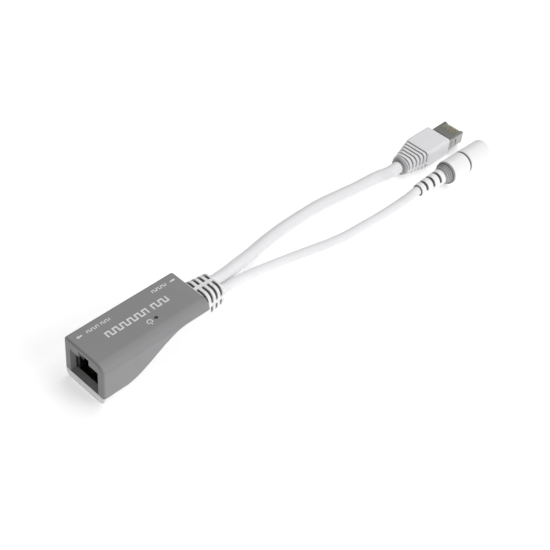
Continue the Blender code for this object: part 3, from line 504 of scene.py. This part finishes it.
def mark(name, outlines):
    """One thin layer of ink made from several filled outlines; an outline may be (outer, inner)."""
    bm = bmesh.new()
    for outer, inner in outlines:
        rows = []
        for z in (INK0, INK1):
            rows.append(([bm.verts.new((x * MM, y * MM, z * MM)) for x, y in outer],
                         [bm.verts.new((x * MM, y * MM, z * MM)) for x, y in inner] if inner else None))
        (lo_o, lo_i), (hi_o, hi_i) = rows
        n = len(lo_o)
        for i in range(n):
            j = (i + 1) % n
            bm.faces.new((lo_o[i], lo_o[j], hi_o[j], hi_o[i]))
            if hi_i:
                bm.faces.new((hi_o[i], hi_o[j], hi_i[j], hi_i[i]))
                bm.faces.new((lo_o[j], lo_o[i], lo_i[i], lo_i[j]))
                bm.faces.new((lo_i[j], lo_i[i], hi_i[i], hi_i[j]))
        if not hi_i:
            bm.faces.new(hi_o)
            bm.faces.new(list(reversed(lo_o)))
    ob = from_bm(name, bm, PRINT)
    return done(ob, "white_plastic")


def frame_mark(x, y, w, h, t):
    """A hollow rounded cell, w across X and h along Y."""
    return (rounded(x - w / 2, x + w / 2, y - h / 2, y + h / 2, (0.35,) * 4, 3),
            rounded(x - w / 2 + t, x + w / 2 - t, y - h / 2 + t, y + h / 2 - t, (0.12,) * 4, 3))


def bar_mark(x, y, w, h, r=0.15):
    return (rounded(x - w / 2, x + w / 2, y - h / 2, y + h / 2, (r,) * 4, 3), None)


def pulse(x_low, x_high, y0, count, pitch, t):
    """A square pulse train drawn as strokes: uprights across X joined in turn at the top and the bottom."""
    strokes = []
    for i in range(count + 1):
        y = y0 + i * pitch
        strokes.append(bar_mark((x_low + x_high) / 2, y, x_high - x_low, t, 0.12))
        if i < count:
            x = x_low + t / 2 if i % 2 == 0 else x_high - t / 2
            strokes.append(bar_mark(x, y + pitch / 2, t, pitch - t - 0.02, 0.02))
    return strokes


mark("title_pulse_long", pulse(-2.9, 0.3, -15.5, 11, 1.9, 0.66))
mark("title_pulse_short", pulse(-2.9, 0.3, 8.3, 4, 1.95, 0.66))
mark("front_label_dashes", pulse(-8.4, -7.0, -20.3, 5, 1.12, 0.36) + pulse(-8.4, -7.0, -13.2, 4, 1.05, 0.34))
mark("rear_label_dashes", pulse(-8.6, -7.1, 13.9, 6, 1.2, 0.38))


def arrow(y, towards):
    """Arrowhead with a short tail, pointing along Y."""
    s = towards
    return [([(-7.65, y + s * 1.5), (-7.65 - 0.8, y + s * 0.25), (-7.65 + 0.8, y + s * 0.25)] if s > 0 else
             [(-7.65, y + s * 1.5), (-7.65 + 0.8, y + s * 0.25), (-7.65 - 0.8, y + s * 0.25)], None),
            bar_mark(-7.65, y - s * 0.55, 0.7, 1.5, 0.1)]


mark("front_arrow", arrow(-24.2, -1))
mark("rear_arrow", arrow(24.8, 1))
ring_n = 36
gap_a = math.radians(38)
arc = []
start, stop = math.pi / 2 + gap_a - math.pi / 2, math.pi / 2 - gap_a + math.tau - math.pi / 2
outer = [(4.3 + 1.35 * math.cos(start + (stop - start) * i / ring_n), 2.1 + 1.35 * math.sin(start + (stop - start) * i / ring_n)) for i in range(ring_n + 1)]
inner = [(4.3 + 0.9 * math.cos(start + (stop - start) * i / ring_n), 2.1 + 0.9 * math.sin(start + (stop - start) * i / ring_n)) for i in range(ring_n + 1)]
mark("power_arc", [([outer[i], outer[i + 1], inner[i + 1], inner[i]], None) for i in range(ring_n)])
mark("power_stroke", [bar_mark(5.35, 2.1, 1.5, 0.42, 0.1)])

# ------------------------------------------------------------------ strain relief
def relief_ring(y):
    t = (y - HALF) / RELIEF_LEN
    cx, cz = (a + (b - a) * t for a, b in zip(RELIEF_C0, RELIEF_C1))
    w, h = (a + (b - a) * t for a, b in zip(RELIEF_S0, RELIEF_S1))
    return cx, cz, w, h


def relief_section(y, grow=0.0, steps=12):
    cx, cz, w, h = relief_ring(y)
    r = min(w, h) * 0.6 + grow
    return oval(cx, cz, w + grow, h + grow, max(0.2, r), steps)


end_round = [(tip - 0.7 + 0.66 * math.sin(a * math.pi / 12), -0.7 * (1 - math.cos(a * math.pi / 12))) for a in range(7)]
sleeve = loft("strain_relief_sleeve", [
    (HALF - WALL - GAP - 1.8, oval(*NECK_C, 8.9, 5.0, 3.9, 12)), (HALF - WALL - GAP, oval(*NECK_C, 8.9, 5.0, 3.9, 12)),
    (HALF - WALL - GAP, oval(*NECK_C, NECK[0], NECK[1], 3.4, 12)), (HALF + GAP, oval(*NECK_C, NECK[0], NECK[1], 3.4, 12)),
    (HALF + GAP, relief_section(HALF + GAP, -EPS)), *[(y, relief_section(y, g - EPS)) for y, g in end_round]], SOFT)
for i in range(RELIEF_SLOTS):
    y = HALF + RELIEF_FIRST + i * RELIEF_PITCH
    ring_cut = box("s", (-14, y - RELIEF_SLOT / 2, 0), (14, y + RELIEF_SLOT / 2, 30))
    cut(ring_cut, loft("c", [(yy, relief_section(yy, -1.9)) for yy in (HALF + 0.5, tip - 0.5)]))
    cut(ring_cut, loft("b", [(HALF - 1, rounded(-0.15, 1.4, 0, 30, (0.1,) * 4, 1)), (tip + 1, rounded(-0.8, 0.8, 0, 30, (0.1,) * 4, 1))]))
    cut(ring_cut, loft("b", [(HALF - 1, rounded(-14, 14, 13.6, 15.3, (0.1,) * 4, 1)), (tip + 1, rounded(-14, 14, 12.6, 14.3, (0.1,) * 4, 1))]))
    cut(sleeve, ring_cut)
finish_edges(sleeve, 0.1, 2, 50)
done(sleeve, "soft_white", "strain_relief")
# painted shade: a near-black sheet just under the slotted sleeve makes its slots read dark
slot_shade = loft("strain_relief_slot_shade", [(y, relief_section(y, -0.75)) for y in (HALF + 1.2, tip - 1.8)], DARK)
done(finish_edges(slot_shade), "core_plastic")

# ------------------------------------------------------------------ plug boot
def boot_section(away, grow=0.0, steps=10):
    t = min(1.0, max(0.0, (away - 27.5) / (boot_end - 27.5)))
    w = (BOOT_W / 2) * (1 - t) + 4.6 * t
    h = (BOOT_H / 2) * (1 - t) + 4.6 * t
    cz = (BOOT_BOTTOM + BOOT_H / 2) * (1 - t) + BOOT_AXIS_Z * t
    r = 1.5 * (1 - t) + 4.5 * t
    return oval(BOOT_SIDE * (1 - t), cz, w + grow, h + grow, max(0.3, min(r + grow, w + grow - 0.02, h + grow - 0.02)), steps)


stations = [PLUG_VISIBLE + 0.0, PLUG_VISIBLE + 0.12, PLUG_VISIBLE + 0.35, 20.0, 26.5, 27.5, 29.0, 31.0, 33.0, 35.0, 37.0, 39.0, 41.0, 42.5, boot_end - 0.4, boot_end - 0.15, boot_end]
shrink = {PLUG_VISIBLE + 0.0: -0.35, PLUG_VISIBLE + 0.12: -0.13, boot_end - 0.15: -0.12, boot_end: -0.4}
boot = loft("plug_boot_moulding", [(-s, boot_section(s, shrink.get(s, 0.0) - 0.02)) for s in stations], BOOT)
cut(boot, box("m", (-6.2, -22.0, 1.9), (6.2, -PLUG_VISIBLE + 1, 9.2)))
cut(boot, box("n", (-3.4, -16.2, -1.0), (3.4, -PLUG_VISIBLE + 1, 3.0)))
for i in range(BOOT_GROOVES):
    s = BOOT_FIRST + i * BOOT_PITCH
    ring_cut = box("g", (-10, -s - BOOT_GROOVE / 2, -2), (10, -s + BOOT_GROOVE / 2, 14))
    cut(ring_cut, loft("c", [(-b, boot_section(b, -0.9)) for b in (26.0, 27.5, 34.5, boot_end + 0.5)]))
    cut(ring_cut, box("b", (-12, -50, 3.4), (12, -20, 4.5)))
    cut(boot, ring_cut)
bore = turned("r", [(0, 0.95), (3.6, 0.95), (3.6, 1.6), (6.0, 1.6), (6.0, -1.5), (0, -1.5)], steps=64)
bore.data.transform(Matrix.Translation((0, -boot_end * MM, BOOT_AXIS_Z * MM)))
cut(boot, bore)
finish_edges(boot, 0.08, 2, 50)
done(plug_piece(boot), "soft_white", "plug_boot")
# painted shade: a grey sheet under the boot's grooves makes them read dark
groove_shade = loft("boot_groove_shade", [(-b, boot_section(b, -0.72)) for b in (27.6, 29.0, 31.0, 33.0, 35.0, 37.0, 39.0, 41.0)], GROOVE)
done(plug_piece(finish_edges(groove_shade)), "core_plastic")
# painted shade: a grey ring over the boot's rear end and bore mouth stands in for the shadow there
boot_end_shade_piece = turned("boot_end_shade_ring", [(3.14, 0.96), (3.5, 0.96), (3.5, 1.58), (4.66, 1.58), (4.62, 1.0), (4.52, 0.5), (4.3, 0.15), (4.0, 0.03), (3.14, 0.03)], BOOT_END_SHADE, 64)
boot_end_shade_piece.data.transform(Matrix.Translation((0, -boot_end * MM, BOOT_AXIS_Z * MM)))
done(plug_piece(finish_edges(boot_end_shade_piece)), "core_plastic")

# ------------------------------------------------------------------ plug shield and body
SHIELD_T, SHIELD_Z0 = 0.25, 2.25
BODY_TOP = PLUG_TOP - SHIELD_T - 0.2
shell = prism("plug_shield_sleeve", rounded(-PLUG_HALF + 0.01, PLUG_HALF - 0.01, SHIELD_Z0 + 0.01, PLUG_TOP - 0.01, (0.45,) * 4, 5), -21.2, -0.3, "XZ", STEEL)
cut(shell, prism("i", rounded(-PLUG_HALF + SHIELD_T, PLUG_HALF - SHIELD_T, SHIELD_Z0 + SHIELD_T, PLUG_TOP - SHIELD_T, (0.25,) * 4, 4), -22.0, 1.0, "XZ"))
cut(shell, prism("w", rounded(-4.7, 4.7, -5.6, 3.0, (0.5,) * 4, 4), PLUG_TOP - 1.0, PLUG_TOP + 1, "XY"))
cut(shell, prism("g", rounded(-4.9, 4.9, -12.2, -10.15, (0.2,) * 4, 3), PLUG_TOP - 1.0, PLUG_TOP + 1, "XY"))
for side in (-1, 1):
    xs = sorted((side * (PLUG_HALF - 0.12), side * (PLUG_HALF + 0.2)))
    bump = prism("bump", rounded(-9.6, -7.2, 4.4, 6.6, (0.7,) * 4, 5), xs[0], xs[1], "YZ")
    cut(shell, bump, "UNION")
    slot_cut = prism("lance", rounded(-6.2, -5.5, 3.6, 7.4, (0.3,) * 4, 4), side * PLUG_HALF - 1.0, side * PLUG_HALF + 1.0, "YZ")
    cut(shell, slot_cut)
finish_edges(shell, 0.05, 2, 45)
done(plug_piece(shell), "nickel_shell", "plug_shield")

nose = box("plug_nose_body", (-5.6, -21.4, SHIELD_Z0 + SHIELD_T + 0.2), (5.6, 0.0, BODY_TOP), NOSE)
cut(nose, box("well", (-4.15, -4.9, BODY_TOP - 3.9), (4.15, -1.1, BODY_TOP - 2.9)))
for i in range(8):
    x = (i - 3.5) * 1.016
    cut(nose, box("slot", (x - 0.33, -4.9, BODY_TOP - 3.7), (x + 0.33, 1.0, BODY_TOP + 1)))
finish_edges(nose, 0.1, 2, 40)
done(plug_piece(nose), "nose_plastic", "plug_body")

# painted shadow: a black strip under the shield slot darkens the gap at the boot mouth
gap_shadow = prism("plug_gap_shadow", rounded(-4.8, 4.8, -12.1, -10.2, (0.2,) * 4, 3), BODY_TOP + 0.01, BODY_TOP + 0.12, "XY", BLACK)
done(plug_piece(finish_edges(gap_shadow)), "core_plastic")
# painted shade: a dark strip along the shield window's rear edge stands in for the shadow line there
edge_shade = prism("shield_window_edge_shade", rounded(-4.5, 4.5, -5.55, -5.05, (0.15,) * 4, 3), BODY_TOP + 0.01, BODY_TOP + 0.1, "XY", RIM)
done(plug_piece(finish_edges(edge_shade)), "core_plastic")

# ------------------------------------------------------------------ DC socket
RING = 0.6


def arc_profile(cr, cs, r, a0, a1, n=5):
    return [(cr + r * math.cos(a0 + (a1 - a0) * i / n), cs + r * math.sin(a0 + (a1 - a0) * i / n)) for i in range(n + 1)]


Rv = DC_R - 0.01
front = turned("dc_front_barrel", [(4.75, DC_FRONT - 0.15), (4.9, DC_FRONT - 0.01)] + arc_profile(Rv - 0.5, DC_FRONT - 0.51, 0.5, math.pi / 2, 0) +
               arc_profile(Rv - 0.2, RING + 0.2, 0.2, 0, -math.pi / 2, 4) + [(4.75, RING)], WHITE, 96)
done(dc_piece(finish_edges(front)), "white_plastic", "dc_front_shell")
rear = turned("dc_rear_barrel", [(4.75, -RING)] + arc_profile(Rv - 0.2, -RING - 0.2, 0.2, math.pi / 2, 0, 4) +
              arc_profile(Rv - 0.3, DC_REAR + 0.3, 0.3, 0, -math.pi / 2) + [(4.75, DC_REAR)], WHITE, 96)
done(dc_piece(finish_edges(rear)), "white_plastic", "dc_rear_shell")
core = turned("dc_core_moulding", [(0, 5.4), (3.35, 5.4), (3.35, DC_FRONT - 0.6), (3.5, DC_FRONT - 0.5), (4.4, DC_FRONT - 0.5), (4.4, 0.28), (5.4, 0.28), (5.4, -0.28),
                                   (4.4, -0.28), (4.4, DC_REAR - 0.35), (5.0, DC_REAR - 0.35), (5.0, DC_REAR - 1.15), (4.96, DC_REAR - 1.3),
                                   (4.25, -16.2), (3.8, -16.25), (3.8, -16.85), (2.45, -16.9), (2.45, -13.2), (0, -13.2)], CORE, 96)
cut(core, box("s", (-1.0, 5.4, 2.4), (1.0, 14.4, 4.05)))
done(dc_piece(finish_edges(core)), "core_plastic", "dc_core")
# painted shade: a dark ring in the seam groove between the barrel halves makes the groove read dark
ring = turned("dc_seam_groove_shade", [(4.8, 0.58), (5.72, 0.58), (5.72, -0.58), (4.8, -0.58)], RIM, 96)
done(dc_piece(finish_edges(ring)), "core_plastic")
# painted shade: a grey ring just behind the rear barrel's edge darkens the crease there
rim = turned("dc_collar_edge_shade", [(4.9, DC_REAR - 0.1), (5.55, DC_REAR - 0.1), (5.64, DC_REAR - 0.4), (5.64, DC_REAR - 0.95), (5.5, DC_REAR - 1.08), (4.9, DC_REAR - 1.08)], GROOVE, 96)
done(dc_piece(finish_edges(rim)), "core_plastic")
# painted shade: two dark bands on the collar cone stand in for its shaded grooves
for i, (s, r) in enumerate(((-14.2, 4.82), (-15.3, 4.5))):
    done(dc_piece(turned(f"dc_collar_groove_shade_{i}", [(r - 0.3, s + 0.2), (r + 0.06, s + 0.16), (r + 0.06, s - 0.16), (r - 0.3, s - 0.2)], RIM, 96)), "core_plastic")

relief = turned("dc_relief_moulding", [(0, DC_RELIEF_END + 1.0), (DC_RELIEF_R1 - 0.35, DC_RELIEF_END + 1.0), (DC_RELIEF_R1 - 0.35, DC_RELIEF_END + 0.04),
                                       (DC_RELIEF_R1 - 0.25, DC_RELIEF_END + 0.02), (DC_RELIEF_R1 - 0.08, DC_RELIEF_END + 0.12), (DC_RELIEF_R1, DC_RELIEF_END + 0.35),
                                       (DC_RELIEF_R0 - 0.02, -17.35), (DC_RELIEF_R0 - 0.12, -17.2), (2.15, -17.2), (2.15, -13.5), (0, -13.5)], WHITE, 72)
for i in range(3):
    s = -20.7 - 4.7 * i
    ring_cut = box("s", (-8, s - 0.8, -8), (8, s + 0.8, 8))
    cut(ring_cut, turned("c", [(0, -15), (2.25, -15), (2.25, -36), (0, -36)], steps=48))
    cut(ring_cut, box("b", (-9, -36, -1.3), (9, -15, 0.1)))
    cut(relief, ring_cut)
finish_edges(relief, 0.08, 2, 50)
done(dc_piece(relief), "soft_white", "dc_relief")
# painted shade: a dark annulus on the relief's small end stands in for the shade on its end face
end_ring = turned("dc_relief_end_shade", [(2.29, DC_RELIEF_END + 0.95), (DC_RELIEF_R1 - 0.37, DC_RELIEF_END + 0.95), (DC_RELIEF_R1 - 0.37, DC_RELIEF_END + 0.06), (2.29, DC_RELIEF_END + 0.06)], RIM, 64)
done(dc_piece(finish_edges(end_ring)), "core_plastic")
# painted shade: a near-black cone inside the DC relief makes its slots read dark
dc_slot_shade = turned("dc_relief_slot_shade", [(0, -18.2), (3.4, -18.2), (2.75, -32.0), (0, -32.0)], DARK, 48)
done(dc_piece(finish_edges(dc_slot_shade)), "core_plastic")

# ------------------------------------------------------------------ floor and light
floor_mat = plastic("pale_floor", (0.96, 0.96, 0.96), 0.9, vary=0.004, grain=200, bump=0.0, spec=0.0, mottle=4)
floor_mat.node_tree.nodes["Principled BSDF"].inputs["Emission Color"].default_value = (1, 1, 1, 1)
floor_mat.node_tree.nodes["Principled BSDF"].inputs["Emission Strength"].default_value = 0.36
bm = bmesh.new()
bmesh.ops.create_grid(bm, x_segments=1, y_segments=1, size=6.0)
floor = from_bm("floor", bm, floor_mat)
floor.location.z = -0.00002


def lamp(name, where, target, size, energy, colour=(1, 1, 1)):
    data = bpy.data.lights.new(name, "AREA")
    data.shape, data.size, data.energy, data.color = "DISK", size, energy, colour
    ob = bpy.data.objects.new(name, data)
    bpy.context.scene.collection.objects.link(ob)
    ob.location = where
    ob.rotation_euler = (Vector(target) - Vector(where)).to_track_quat("-Z", "Y").to_euler()
    return ob


lamp("key", (1.25, 0.5, 0.68), (0, 0.08, 0.0), 1.2, 11.0)
lamp("top", (-0.12, 0.55, 1.45), (0, 0.08, 0.0), 1.8, 15.5)
world = bpy.data.worlds.new("studio")
bpy.context.scene.world = world
world.use_nodes = True
world.node_tree.nodes["Background"].inputs["Color"].default_value = (1, 1, 1, 1)
world.node_tree.nodes["Background"].inputs["Strength"].default_value = 0.14
bpy.context.scene.view_settings.view_transform = "Standard"

bpy.context.view_layer.update()
